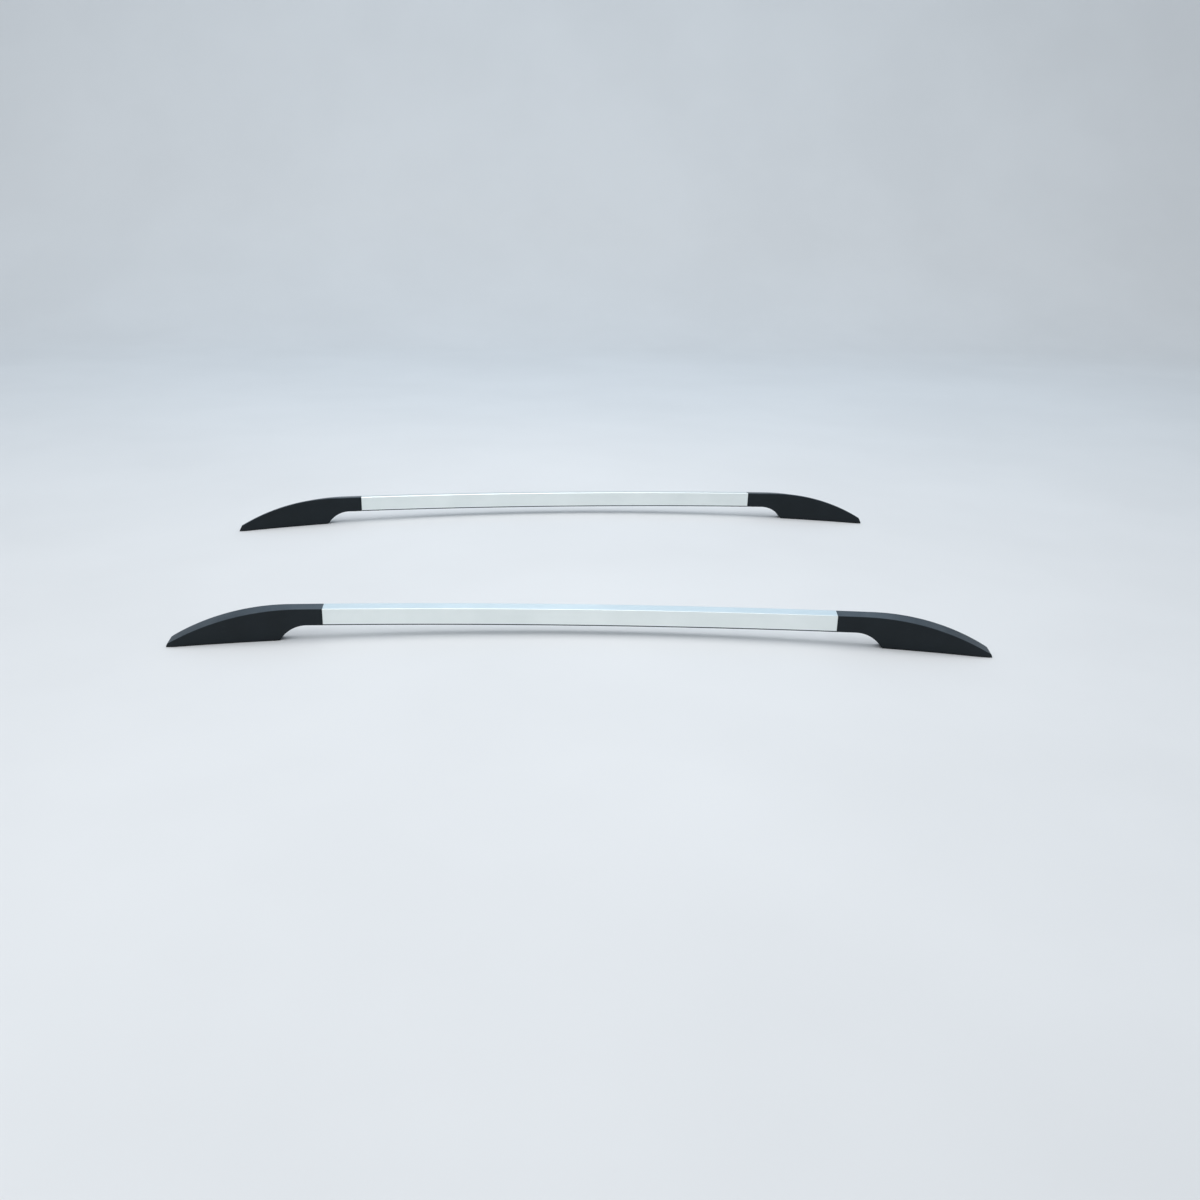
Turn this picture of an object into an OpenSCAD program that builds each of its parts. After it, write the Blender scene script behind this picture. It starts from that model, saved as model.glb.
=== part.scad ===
// Pair of roof side rails for a passenger car, all sizes in millimetres.
// Each rail is a gently bowed hollow aluminium bar. A cast foot plugs into each of its ends and stands
// on the roof on a rubber pad, and a moulded cover hides the foot and carries the bar's lines down to
// the roof. +X points to the front of the car, +Y to its left, +Z up. The origin lies midway between
// the rails, on the level of the stud ends.

/* [Rail pair] */
// Length of one rail from tip to tip
rail_length = 1800; // [1500:10:2200]
// Distance between the two rails' centre lines at mid-length
rail_track = 1063; // [850:1:1300]
// Angle by which each rail runs outwards towards the front
toe_angle = 3.13; // [0:0.01:6]
// Radius of the roof's arc along the car
roof_radius = 9690; // [8000:10:14000]

/* [Bar] */
// Width of the bar and of the covers
bar_width = 30.5; // [26:0.5:40]
// Height of the bar's outer side, up to the crease along its top
bar_side_height = 37.4; // [32:0.2:46]
// Rise of the bar's top from the crease to the inner edge
bar_top_rise = 3.8; // [1:0.1:7]
// Wall of the bar
bar_wall = 2.4; // [1.6:0.1:3.5]
// Radius of the bar's bow, at its underside
bow_radius = 23300; // [18000:100:40000]
// Gap between the roof and the underside of the bar at mid-length
bar_gap = 20; // [14:0.5:30]
// Radius of the bar's two lower edges
bottom_edge_radius = 3.2; // [1:0.1:5]
// Radius of the crease
crease_radius = 1.2; // [0.5:0.1:3]
// Radius of the inner top edge
inner_edge_radius = 3; // [1:0.1:5]
// Smallest radius left on an inner edge of a wall
least_radius = 0.4; // [0.2:0.1:0.8]

/* [Covers] */
// Length of a front cover, from its joint with the bar to the tip of the rail
front_cover_length = 349; // [338:1:400]
// Length of a rear cover
rear_cover_length = 341; // [338:1:400]
// Wall of the covers
cover_wall = 2.6; // [1.8:0.1:3.2]
// Open joint between the bar and a cover
joint_gap = 0.5; // [0.2:0.1:1.5]
// Distance from the tip of the rail to where the crease starts to fall
crease_setback = 292; // [284:1:312]
// Radius of the falling crease
crease_arc_radius = 594; // [560:1:630]
// Distance from the tip of the rail to where the inner top edge starts to fall
top_setback = 264; // [258:1:272]
// Radius of the falling inner top edge
top_arc_radius = 513; // [500:1:540]
// Distance from the tip of the rail to where the cover's underside turns down to the roof
neck_setback = 308; // [290:1:312]
// Radius of that turn
neck_radius = 70; // [50:1:75]
// Distance along the rail that the tip's end face leans back for each millimetre of height
tip_rake = 0.5; // [0:0.05:1]
// Distance over which the nose narrows before the tip
nose_length = 26; // [10:1:40]
// Narrowing of each side of the nose at the tip
nose_narrowing = 4.5; // [0:0.1:8]
// Thickness of the stiffening ribs under the cover's top
rib_thickness = 1.8; // [1:0.1:2.6]
// Depth of those ribs
rib_depth = 6; // [3:0.5:8]
// Distance between those ribs
rib_pitch = 34; // [24:1:50]
// Distance from the tip of the rail to the first rib
rib_setback = 246; // [232:1:252]
// Number of ribs in a cover
rib_count = 6; // [1:1:6]
// Outer radius of the screw boss inside a cover
cover_boss_radius = 4.5; // [4:0.1:5]
// Number of steps along the neck of a cover
neck_steps = 3; // [2:1:6]
// Number of steps round the turn from the neck to the roof
turn_steps = 11; // [8:1:14]
// Number of steps along the rest of a cover
cover_steps = 22; // [16:1:30]
// Number of steps round each rounded edge
edge_steps = 3; // [2:1:4]

/* [Feet] */
// Length of the spigot inside the bar
spigot_length = 62; // [50:1:90]
// Length of the spigot's run outside the bar, inside the cover's neck
spigot_tail = 34; // [20:1:36]
// Width of the foot's body
foot_width = 16; // [14:0.5:18]
// Thickness of the web in the middle of the foot
web_thickness = 4; // [3:0.5:6]
// Thickness of the foot's rims round its pockets
rim_thickness = 4; // [3:0.5:5]
// Thickness of the foot's base
base_thickness = 5; // [4:0.5:7]
// Distance from the tip of the rail to the end of the base
base_setback = 40; // [36:1:60]
// Thickness of the rubber pad under the foot
pad_thickness = 2; // [1:0.1:3]
// Inset of the rubber pad from the cover's outline
pad_inset = 0.6; // [0.2:0.1:1.5]
// Free space between the foot and the cover or the bar's walls
fit_clearance = 0.4; // [0.2:0.05:0.8]

/* [Fasteners] */
// Radius of the roof studs' threaded part
stud_radius = 3; // [2.5:0.1:3.2]
// Length of the threaded part of a stud
stud_thread_length = 20; // [14:1:28]
// Radius of the studs' plain shank
shank_radius = 3.6; // [3.5:0.1:4]
// Length of the plain shank
shank_length = 21; // [18:0.5:24]
// Distance by which the shank reaches below the roof's skin
shank_drop = 3; // [2.8:0.1:5]
// Distance between the two studs of a foot, along the car
stud_spacing = 100; // [90:1:106]
// Distance from the tip of the rail to the middle between the two studs
stud_setback = 160; // [156:1:164]
// Radius of the bosses round the studs
stud_boss_radius = 8; // [6.5:0.5:10]
// Metal above the top end of a stud
stud_cap = 4; // [3:0.5:5]
// Outer radius of the rubber seals round the studs
seal_radius = 8; // [7:0.5:9]
// Radius of the part of a seal that enters the roof's hole
seal_plug_radius = 5.2; // [4.5:0.1:6]
// Depth of that part
seal_plug_depth = 2.5; // [1:0.1:2.7]
// Radius of the screws
screw_radius = 2.5; // [2:0.1:2.8]
// Radius of the screw heads
screw_head_radius = 4.5; // [4:0.1:5]
// Height of the screw heads
screw_head_height = 2.6; // [2:0.1:3]
// Length of the screws under their heads
screw_length = 14; // [12:0.5:16]
// Depth of the hexagon socket in a screw head
socket_depth = 1.5; // [1:0.1:1.8]
// Width across the flats of that socket
socket_flats = 3; // [2.5:0.1:4]
// Free space round a fastener's shank
shank_clearance = 0.1; // [0.05:0.05:0.3]
// Free space between a screw's head and the curved face under it
head_clearance = 0.1; // [0.05:0.05:0.2]
// Metal of the foot round a screw's thread
thread_wall = 2; // [1.5:0.1:2.5]
// Distance from the joint to the first screw in the bar
bar_screw_start = 18; // [12:1:20]
// Distance between the two screws in the bar
bar_screw_pitch = 26; // [20:1:28]
// Distance from the joint to the screw in the cover's neck
neck_screw_run = 20; // [12:1:24]
// Distance from the tip of the rail to the screw under the tail of the foot
tail_screw_setback = 66; // [62:1:70]
// Height of the joint between the tail boss of the foot and the cover's boss, above the roof
tail_boss_height = 17; // [15:0.5:19]

/* [Hidden] */

// Steps round the fasteners, and in a full turn of the bar's long bow
$fn = 48;
bow_steps = 2000;

// Colours
bar_colour = [0.82, 0.85, 0.86];
cover_colour = [0.13, 0.15, 0.17];
foot_colour = [0.55, 0.57, 0.59];
rubber_colour = [0.06, 0.06, 0.06];
zinc_colour = [0.74, 0.74, 0.68];

// Heights in one rail's own frame are measured from the roof at its tips
tip_x = rail_length / 2;
roof_crown = roof_radius - sqrt(roof_radius ^ 2 - tip_x ^ 2);
bar_under = roof_crown + bar_gap;

// Reach of a cut beyond the faces that it opens, and steps of the long flat curves
over = 2;
curve_step = 8;

// Where the falling edges and the turned-down underside begin
crease_x = tip_x - crease_setback;
top_x = tip_x - top_setback;
neck_x = tip_x - neck_setback;
neck_centre_z = under_z(neck_x) - neck_radius;
base_end_x = tip_x - base_setback;
stud_mid_x = tip_x - stud_setback;
tail_screw_x = tip_x - tail_screw_setback;
tail_joint_z = roof_z(tail_screw_x) + tail_boss_height;
tail_seat_z = roof_z(tail_screw_x) + pad_thickness + screw_head_height + fit_clearance;
thread_radius = screw_radius + thread_wall;
lift = stud_thread_length + shank_drop - roof_z(stud_x(1));
trim_depth = roof_z(neck_x + neck_radius) - neck_centre_z - over;

// Height of the roof at a distance along the rail
function roof_z(x) = sqrt(roof_radius ^ 2 - x ^ 2) - sqrt(roof_radius ^ 2 - tip_x ^ 2);

// Height of the bar's underside, carried on over the covers
function under_z(x) = bar_under - bow_radius + sqrt(bow_radius ^ 2 - x ^ 2);

// Place and lean of the joint with the bar, at the front end (1) or the rear end (-1)
function joint_x(end) = tip_x - (end > 0 ? front_cover_length : rear_cover_length);
function joint_angle(end) = asin(joint_x(end) / bow_radius);

// Height on an arc of radius r that leaves a line of slope s at the point [x0, z0] and falls away
function falling_z(x, x0, z0, s, r) =
    let (a = atan(s), cx = x0 - r * sin(a), cz = z0 - r * cos(a))
    cz + sqrt(r ^ 2 - (x - cx) ^ 2);

// Slope of the bar's underside
function bow_slope(x) = tan(asin(x / bow_radius));

// Height of the crease and of the inner top edge along a cover
function crease_z(x) = x < crease_x
    ? under_z(x) + bar_side_height
    : falling_z(x, crease_x, under_z(crease_x) + bar_side_height, bow_slope(crease_x), crease_arc_radius);
function top_z(x) = x < top_x
    ? under_z(x) + bar_side_height + bar_top_rise
    : falling_z(x, top_x, under_z(top_x) + bar_side_height + bar_top_rise, bow_slope(top_x), top_arc_radius);

// Height of the lower edge of the ribs inside a cover
function rib_low_z(x) = crease_z(x) - cover_wall - rib_depth;

// How far each side of the nose has narrowed
function nose_cut(x) = let (t = max(0, (x - tip_x) / nose_length + 1)) nose_narrowing * t ^ 2;

// Place of a stud along and across its rail, which keeps the two studs of a foot in a line along the car
function stud_x(i) = stud_mid_x + (i - 0.5) * stud_spacing * cos(toe_angle);
function stud_y(i, end) = -end * (i - 0.5) * stud_spacing * sin(toe_angle);

// Height of the step between the shank and the threaded part of a stud
function stud_step_z(i) = roof_z(stud_x(i)) - shank_drop;

function unit(v) = v / norm(v);
function turned(p, a) = [p.x * cos(a) - p.y * sin(a), p.x * sin(a) + p.y * cos(a)];

// One corner b of an outline, between its neighbours a and c, as an arc of radius r
function arc_corner(a, b, c, r) =
    let (
        u = unit(a - b),
        v = unit(c - b),
        half = acos(u * v) / 2,
        centre = b + unit(u + v) * r / sin(half),
        first = b + u * r / tan(half) - centre,
        last = b + v * r / tan(half) - centre,
        turn = (180 - 2 * half) * sign(cross(first, last))
    )
    [for (i = [0:edge_steps]) centre + turned(first, turn * i / edge_steps)];

// An outline with rounded corners, each given as [across, up, radius]
function rounded(corners) =
    let (n = len(corners), flat = [for (c = corners) [c.x, c.y]])
    [for (i = [0:n - 1]) each arc_corner(flat[(i + n - 1) % n], flat[i], flat[(i + 1) % n], corners[i][2])];

// The rail's cross-section between given heights of its lower face, crease and inner top edge, with
// its walls and edge radii drawn in from the outside by an inset
function inset_radius(r, inset) = max(r - inset, least_radius);
function rail_section(low, crease, top, half_width, inset) =
    let (
        slope = (top - crease) / (2 * half_width),
        drop = inset * sqrt(1 + slope ^ 2),
        side = half_width - inset,
        low_radius = inset_radius(bottom_edge_radius, inset)
    )
    rounded([
        [side, low, low_radius],
        [side, crease + slope * inset - drop, inset_radius(crease_radius, inset)],
        [-side, top - slope * inset - drop, inset_radius(inner_edge_radius, inset)],
        [-side, low, low_radius]
    ]);
function bar_section(inset) =
    rail_section(inset, bar_side_height, bar_side_height + bar_top_rise, bar_width / 2, inset);

// Height of a cover's lower face: level with the bar's, then round the turn to some way below the
// roof, where the roof trims it
function tail_low_z(x) = roof_z(x) - trim_depth;
function cover_low_z(x, inset) =
    let (r = neck_radius + inset)
    x <= neck_x ? under_z(x) + inset
    : x < neck_x + r ? max(tail_low_z(x), neck_centre_z + sqrt(r ^ 2 - (x - neck_x) ^ 2))
    : tail_low_z(x);
function cover_ring(x, inset) =
    let (half_width = bar_width / 2 - nose_cut(x))
    [for (p = rail_section(cover_low_z(x, inset), crease_z(x), top_z(x), half_width, inset)) [x, p.x, p.y]];

// Places of the rings: even along the neck, by angle round the turn, then even to beyond the tip
function cover_stations(end, inset) =
    let (
        r = neck_radius + inset,
        start_x = joint_x(end) - over,
        last_angle = acos((tail_low_z(neck_x + r) - neck_centre_z) / r),
        turn_x = neck_x + r * sin(last_angle),
        tail = tip_x + 3 * over - turn_x
    )
    concat(
        [for (i = [0:neck_steps - 1]) start_x + (neck_x - start_x) * i / neck_steps],
        [for (i = [0:turn_steps]) neck_x + r * sin(last_angle * i / turn_steps)],
        [for (i = [1:cover_steps]) turn_x + tail * i / cover_steps]
    );

// A row of closed rings, skinned and capped
module skin(rings) {
    n = len(rings[0]);
    last = len(rings) - 1;
    points = [for (ring = rings) each ring];
    sides = [for (i = [0:last - 1], j = [0:n - 1])
        let (a = i * n + j, b = i * n + (j + 1) % n)
        each [[a, b + n, b], [a, a + n, b + n]]];
    first_cap = [for (j = [0:n - 1]) j];
    last_cap = [for (j = [n - 1:-1:0]) last * n + j];
    polyhedron(points, concat([first_cap], sides, [last_cap]));
}

// A profile in the rail's own upright plane, extruded across the rail
module across(width) {
    rotate([90, 0, 0]) linear_extrude(width, center = true) children();
}

// A cross-section extruded along the rail
module along(length) {
    rotate([90, 0, 90]) linear_extrude(length) children();
}

// The frame of the bar's end: +X runs out of the bar along its line
module at_joint(end) {
    translate([joint_x(end), 0, under_z(joint_x(end))]) rotate([0, joint_angle(end), 0]) children();
}

// Distances along the rail for a curve from x0 to x1, both included
function stations(x0, x1) =
    let (n = max(1, ceil((x1 - x0) / curve_step))) [for (i = [0:n]) x0 + (x1 - x0) * i / n];
function reversed(list) = [for (i = [len(list) - 1:-1:0]) list[i]];

// The roof's arc as one shared row of points, so that what lies on it fits face to face
roof_stations = stations(min(joint_x(1), joint_x(-1)), tip_x + 3 * over);
function roof_line(rise) = [for (x = roof_stations) [x, roof_z(x) + rise]];
module roof_band(low, high) polygon(concat(roof_line(low), reversed(roof_line(high))));

// Everything that lies below a given height over the roof
module below_roof(rise) {
    across(2 * bar_width) roof_band(-4 * bar_width, rise);
}

// Removes what lies on the bar's side of the joint
module joint_cut(end, gap) {
    at_joint(end) translate([gap - 4 * bar_width, -bar_width, -bar_width])
        cube([4 * bar_width, 2 * bar_width, 4 * bar_width]);
}

// Removes what lies beyond the raked tip, drawn in by an inset
module tip_cut(inset) {
    translate([tip_x - inset, 0, 0]) rotate([0, -atan(tip_rake), 0])
        translate([0, -bar_width, -bar_width]) cube([20 * over, 2 * bar_width, 3 * bar_width]);
}

module cover_form(end, inset) skin([for (x = cover_stations(end, inset)) cover_ring(x, inset)]);

// The space inside a cover, less its ribs and its screw boss
module cover_inside(end) {
    difference() {
        cover_form(end, cover_wall);
        tip_cut(cover_wall);
        for (i = [0:rib_count - 1]) cover_rib(tip_x - rib_setback + i * rib_pitch);
        translate([tail_screw_x, 0, tail_joint_z]) cylinder(r = cover_boss_radius, h = bar_side_height);
    }
}

module cover_rib(x) {
    translate([x, -bar_width, rib_low_z(x + rib_thickness)])
        cube([rib_thickness, 2 * bar_width, bar_side_height]);
}

module cover(end) {
    color(cover_colour) difference() {
        cover_form(end, 0);
        cover_inside(end);
        below_roof(pad_thickness);
        joint_cut(end, joint_gap);
        tip_cut(0);
        translate([tail_screw_x, 0, tail_seat_z])
            cylinder(r = screw_radius + shank_clearance, h = screw_length + over);
        at_joint(end) translate([neck_screw_run, 0, -over])
            cylinder(r = screw_radius + shank_clearance, h = cover_wall + 2 * over);
    }
}

// The bar's section swept along its bow, past each end by an extra angle
module bar_form(inset, extra) {
    first = 90 - joint_angle(1) - extra;
    last = 90 + joint_angle(-1) + extra;
    translate([0, 0, bar_under]) translate([0, 0, -bow_radius]) rotate([90, 0, 0])
        rotate_extrude(angle = last - first, start = first, $fn = bow_steps)
            translate([bow_radius, 0]) polygon([for (p = bar_section(inset)) [p.y, -p.x]]);
}

module rail_bar() {
    color(bar_colour) difference() {
        bar_form(0, 0);
        bar_form(bar_wall, 0.1);
        bar_screw_holes(1);
        rear_end() bar_screw_holes(-1);
    }
}

module bar_screw_holes(end) {
    bar_screw_places(end) translate([0, 0, -over])
        cylinder(r = screw_radius + shank_clearance, h = bar_wall + 2 * over);
}

// The places of the screws in the bar, with +Z up through its underside
module bar_screw_places(end) {
    for (i = [0, 1]) at_joint(end) translate([-bar_screw_start - i * bar_screw_pitch, 0, 0]) children();
}

// Insets of the foot from the bar and the cover, and the lower and upper outline of its body
spigot_inset = bar_wall + fit_clearance;
foot_skirt = cover_wall + fit_clearance;
arc_end_x = neck_x + sqrt((neck_radius + foot_skirt) ^ 2
    - (roof_z(neck_x + neck_radius) + pad_thickness - neck_centre_z) ^ 2);
function foot_low_z(x) = x < neck_x
    ? under_z(x) + foot_skirt
    : neck_centre_z + sqrt(max(0, (neck_radius + foot_skirt) ^ 2 - (x - neck_x) ^ 2));
function foot_top_z(x) = rib_low_z(x + rib_thickness) - fit_clearance;
function pocket_low_z(x) = max(foot_low_z(x) + rim_thickness, roof_z(x) + pad_thickness + base_thickness);
function body_start_x(end) = joint_x(end) + spigot_tail - 3 * rim_thickness;

// Spans of the pockets along the foot, each between two upright ribs
half_rib = rim_thickness / 2;
pocket_spans = [
    [neck_x, arc_end_x - 3 * rim_thickness],
    [arc_end_x - 2 * rim_thickness, stud_x(0) - stud_boss_radius - half_rib],
    [stud_x(0) + stud_boss_radius + half_rib, stud_mid_x - half_rib],
    [stud_mid_x + half_rib, stud_x(1) - stud_boss_radius - half_rib],
    [stud_x(1) + stud_boss_radius + half_rib, tail_screw_x - thread_radius - half_rib]
];

// Side outline of the foot's body, from inside the neck to the end of the base
module foot_side(end) {
    turn_radius = neck_radius + foot_skirt;
    turn_angle = asin((arc_end_x - neck_x) / turn_radius);
    low_stations = concat(
        stations(body_start_x(end), neck_x),
        [for (i = [1:turn_steps]) neck_x + turn_radius * sin(turn_angle * i / turn_steps)]
    );
    polygon(concat(
        [for (x = low_stations) [x, foot_low_z(x)]],
        [[arc_end_x, -2 * over], [base_end_x, -2 * over]],
        [for (x = reversed(stations(body_start_x(end), base_end_x))) [x, foot_top_z(x)]]
    ));
}

// One pocket on each side of the web, from x0 to x1
module foot_pocket(x0, x1) {
    for (side = [-1, 1]) translate([0, side * (foot_width + web_thickness) / 2, 0]) across(foot_width)
        polygon(concat(
            [for (x = stations(x0, x1)) [x, pocket_low_z(x)]],
            [for (x = reversed(stations(x0, x1))) [x, foot_top_z(x) - rim_thickness]]
        ));
}

// The base, which follows the roof's arc
module foot_base() {
    intersection() {
        across(bar_width - 2 * foot_skirt) roof_band(pad_thickness, pad_thickness + base_thickness);
        translate([arc_end_x, -bar_width, -bar_width])
            cube([base_end_x - arc_end_x, 2 * bar_width, 4 * bar_width]);
    }
}

// Bosses round the two studs and the tail screw
module foot_bosses(end) {
    for (i = [0, 1]) translate([stud_x(i), stud_y(i, end), 0])
        cylinder(r = stud_boss_radius, h = stud_step_z(i) + shank_length + stud_cap);
    translate([tail_screw_x, 0, 0]) cylinder(r = thread_radius, h = tail_joint_z);
}

// The spigot: an I-section tongue with a solid block round each screw
module spigot(end) {
    screws = [-bar_screw_start - bar_screw_pitch, -bar_screw_start, neck_screw_run];
    ends = [-spigot_length + rim_thickness - thread_radius, screws[0], screws[1], screws[2]];
    pocket_height = bar_side_height - 2 * spigot_inset - 2 * rim_thickness;
    at_joint(end) difference() {
        translate([-spigot_length, 0, 0]) along(spigot_length + spigot_tail)
            polygon(bar_section(spigot_inset));
        for (side = [0, 1], i = [0:2]) mirror([0, side, 0])
            translate([ends[i] + thread_radius, web_thickness / 2, spigot_inset + rim_thickness])
                cube([ends[i + 1] - ends[i] - 2 * thread_radius, bar_width, pocket_height]);
    }
}

// Holes of the screws that enter the foot from below, and the seat of the cover's boss
module foot_screw_holes(end) {
    hole_r = screw_radius + shank_clearance;
    bar_screw_places(end) cylinder(r = hole_r, h = screw_length + over);
    at_joint(end) translate([neck_screw_run, 0, 0]) cylinder(r = hole_r, h = screw_length + over);
    translate([tail_screw_x, 0, -bar_width]) {
        cylinder(r = hole_r, h = 3 * bar_width);
        cylinder(r = screw_head_radius + fit_clearance, h = bar_width + tail_seat_z);
    }
    translate([tail_screw_x, 0, tail_joint_z])
        cylinder(r = cover_boss_radius + fit_clearance, h = bar_side_height);
}

module foot(end) {
    color(foot_colour) difference() {
        union() {
            spigot(end);
            difference() {
                across(foot_width) foot_side(end);
                for (span = pocket_spans) foot_pocket(span[0], span[1]);
            }
            foot_base();
            foot_bosses(end);
        }
        below_roof(pad_thickness);
        for (i = [0, 1]) translate([stud_x(i), stud_y(i, end), stud_step_z(i)])
            cylinder(r = shank_radius + shank_clearance, h = shank_length);
        foot_screw_holes(end);
    }
}

// Rubber pad with holes for the studs' seals and for the tail screw
module gasket(end) {
    half = bar_width / 2 - pad_inset;
    turn_end_z = roof_z(neck_x + neck_radius) - neck_centre_z;
    first_x = neck_x + sqrt(neck_radius ^ 2 - turn_end_z ^ 2) + 2 * pad_inset;
    last_x = tip_x - 2 * pad_inset;
    nose = [for (x = stations(last_x - nose_length, last_x)) [x, half - nose_cut(x)]];
    color(rubber_colour) difference() {
        intersection() {
            across(2 * bar_width) roof_band(0, pad_thickness);
            translate([0, 0, -bar_width]) linear_extrude(4 * bar_width) polygon(concat(
                [[first_x, -half], for (p = nose) [p.x, -p.y]],
                reversed(nose),
                [[first_x, half]]
            ));
        }
        for (i = [0, 1]) translate([stud_x(i), stud_y(i, end), -bar_width])
            cylinder(r = seal_radius + fit_clearance, h = 3 * bar_width);
        translate([tail_screw_x, 0, -bar_width])
            cylinder(r = screw_head_radius + fit_clearance, h = 3 * bar_width);
    }
}

module studs(end) {
    color(zinc_colour) for (i = [0, 1]) translate([stud_x(i), stud_y(i, end), stud_step_z(i)]) {
        cylinder(r = shank_radius, h = shank_length);
        translate([0, 0, -stud_thread_length]) cylinder(r = stud_radius, h = stud_thread_length);
    }
}

module stud_seals(end) {
    color(rubber_colour) for (i = [0, 1]) difference() {
        union() {
            intersection() {
                translate([stud_x(i), stud_y(i, end), 0]) cylinder(r = seal_radius, h = 2 * bar_width);
                across(2 * bar_width) roof_band(0, pad_thickness);
            }
            translate([stud_x(i), stud_y(i, end), roof_z(stud_x(i)) - seal_plug_depth])
                cylinder(r = seal_plug_radius, h = seal_plug_depth + pad_thickness / 2);
        }
        translate([stud_x(i), stud_y(i, end), stud_step_z(i)])
            cylinder(r = shank_radius + shank_clearance, h = shank_length);
    }
}

// A screw pointing up, with the seat of its head at the origin
module screw() {
    cylinder(r = screw_radius, h = screw_length);
    translate([0, 0, -screw_head_height]) difference() {
        cylinder(r = screw_head_radius, h = screw_head_height);
        translate([0, 0, -over]) cylinder(d = socket_flats / cos(30), h = socket_depth + over, $fn = 6);
    }
}

module bar_screws(end) {
    color(zinc_colour) bar_screw_places(end) translate([0, 0, -head_clearance]) screw();
}

module cover_screws(end) {
    color(zinc_colour) {
        at_joint(end) translate([neck_screw_run, 0, -head_clearance]) screw();
        translate([tail_screw_x, 0, tail_seat_z]) screw();
    }
}

// Places of the rails and of their ends
module left_side() {
    translate([0, rail_track / 2, lift]) rotate([0, 0, toe_angle]) children();
}
module right_side() mirror([0, 1, 0]) left_side() children();
module rear_end() mirror([1, 0, 0]) children();

right_side() rail_bar();  // right_rail_bar
right_side() foot(1);  // right_front_foot
right_side() cover(1);  // right_front_cover
right_side() gasket(1);  // right_front_gasket
right_side() studs(1);  // right_front_studs
right_side() stud_seals(1);  // right_front_stud_seals
right_side() bar_screws(1);  // right_front_bar_screws
right_side() cover_screws(1);  // right_front_cover_screws
right_side() rear_end() foot(-1);  // right_rear_foot
right_side() rear_end() cover(-1);  // right_rear_cover
right_side() rear_end() gasket(-1);  // right_rear_gasket
right_side() rear_end() studs(-1);  // right_rear_studs
right_side() rear_end() stud_seals(-1);  // right_rear_stud_seals
right_side() rear_end() bar_screws(-1);  // right_rear_bar_screws
right_side() rear_end() cover_screws(-1);  // right_rear_cover_screws
left_side() rail_bar();  // left_rail_bar
left_side() foot(1);  // left_front_foot
left_side() cover(1);  // left_front_cover
left_side() gasket(1);  // left_front_gasket
left_side() studs(1);  // left_front_studs
left_side() stud_seals(1);  // left_front_stud_seals
left_side() bar_screws(1);  // left_front_bar_screws
left_side() cover_screws(1);  // left_front_cover_screws
left_side() rear_end() foot(-1);  // left_rear_foot
left_side() rear_end() cover(-1);  // left_rear_cover
left_side() rear_end() gasket(-1);  // left_rear_gasket
left_side() rear_end() studs(-1);  // left_rear_studs
left_side() rear_end() stud_seals(-1);  // left_rear_stud_seals
left_side() rear_end() bar_screws(-1);  // left_rear_bar_screws
left_side() rear_end() cover_screws(-1);  // left_rear_cover_screws
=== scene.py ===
import math

import bpy
import bmesh
from mathutils import Matrix, Vector


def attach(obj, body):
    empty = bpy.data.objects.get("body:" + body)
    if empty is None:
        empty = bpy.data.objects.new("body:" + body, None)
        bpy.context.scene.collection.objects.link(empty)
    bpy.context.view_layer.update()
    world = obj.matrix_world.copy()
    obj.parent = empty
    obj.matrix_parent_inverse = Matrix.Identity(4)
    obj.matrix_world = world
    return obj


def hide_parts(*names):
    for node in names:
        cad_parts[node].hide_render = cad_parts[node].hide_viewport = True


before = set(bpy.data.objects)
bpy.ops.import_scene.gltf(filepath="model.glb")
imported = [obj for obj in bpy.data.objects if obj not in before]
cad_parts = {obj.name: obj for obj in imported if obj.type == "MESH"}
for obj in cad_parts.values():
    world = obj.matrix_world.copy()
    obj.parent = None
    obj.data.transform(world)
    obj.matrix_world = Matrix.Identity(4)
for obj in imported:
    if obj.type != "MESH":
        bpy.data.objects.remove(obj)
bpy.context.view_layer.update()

# Sizes of one rail in metres, as in the CAD model. A rail's own frame has x along the rail from its
# middle, y across it and outwards, and z up from the roof's level at the rail's tips.
RAIL_LENGTH = 1.8
RAIL_TRACK = 1.063
TOE = math.radians(3.13)
ROOF_RADIUS = 9.69
BAR_WIDTH = 0.0305
BAR_SIDE_HEIGHT = 0.0374
BAR_TOP_RISE = 0.0038
BAR_WALL = 0.0024
BOW_RADIUS = 23.3
BAR_GAP = 0.020
BOTTOM_EDGE_RADIUS = 0.0032
CREASE_RADIUS = 0.0012
INNER_EDGE_RADIUS = 0.003
LEAST_RADIUS = 0.0004
FRONT_COVER_LENGTH = 0.349
REAR_COVER_LENGTH = 0.341
COVER_WALL = 0.0026
JOINT_GAP = 0.0005
CREASE_SETBACK = 0.292
CREASE_ARC_RADIUS = 0.594
TOP_SETBACK = 0.264
TOP_ARC_RADIUS = 0.513
NECK_SETBACK = 0.308
NECK_RADIUS = 0.070
TIP_RAKE = 0.5
NOSE_LENGTH = 0.026
NOSE_NARROWING = 0.0045
RIB_THICKNESS = 0.0018
RIB_DEPTH = 0.006
RIB_PITCH = 0.034
RIB_SETBACK = 0.246
RIB_COUNT = 6
COVER_BOSS_RADIUS = 0.0045
PAD_THICKNESS = 0.002
STUD_RADIUS = 0.003
STUD_THREAD_LENGTH = 0.020
SHANK_RADIUS = 0.0036
SHANK_LENGTH = 0.021
SHANK_DROP = 0.003
STUD_SPACING = 0.100
STUD_SETBACK = 0.160
SCREW_HOLE_RADIUS = 0.0026
BAR_SCREW_PLACES = (-0.018, -0.044)
NECK_SCREW_RUN = 0.020
TAIL_SCREW_SETBACK = 0.066
TAIL_BOSS_HEIGHT = 0.017
TAIL_HOLE_HEIGHT = 0.021

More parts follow.
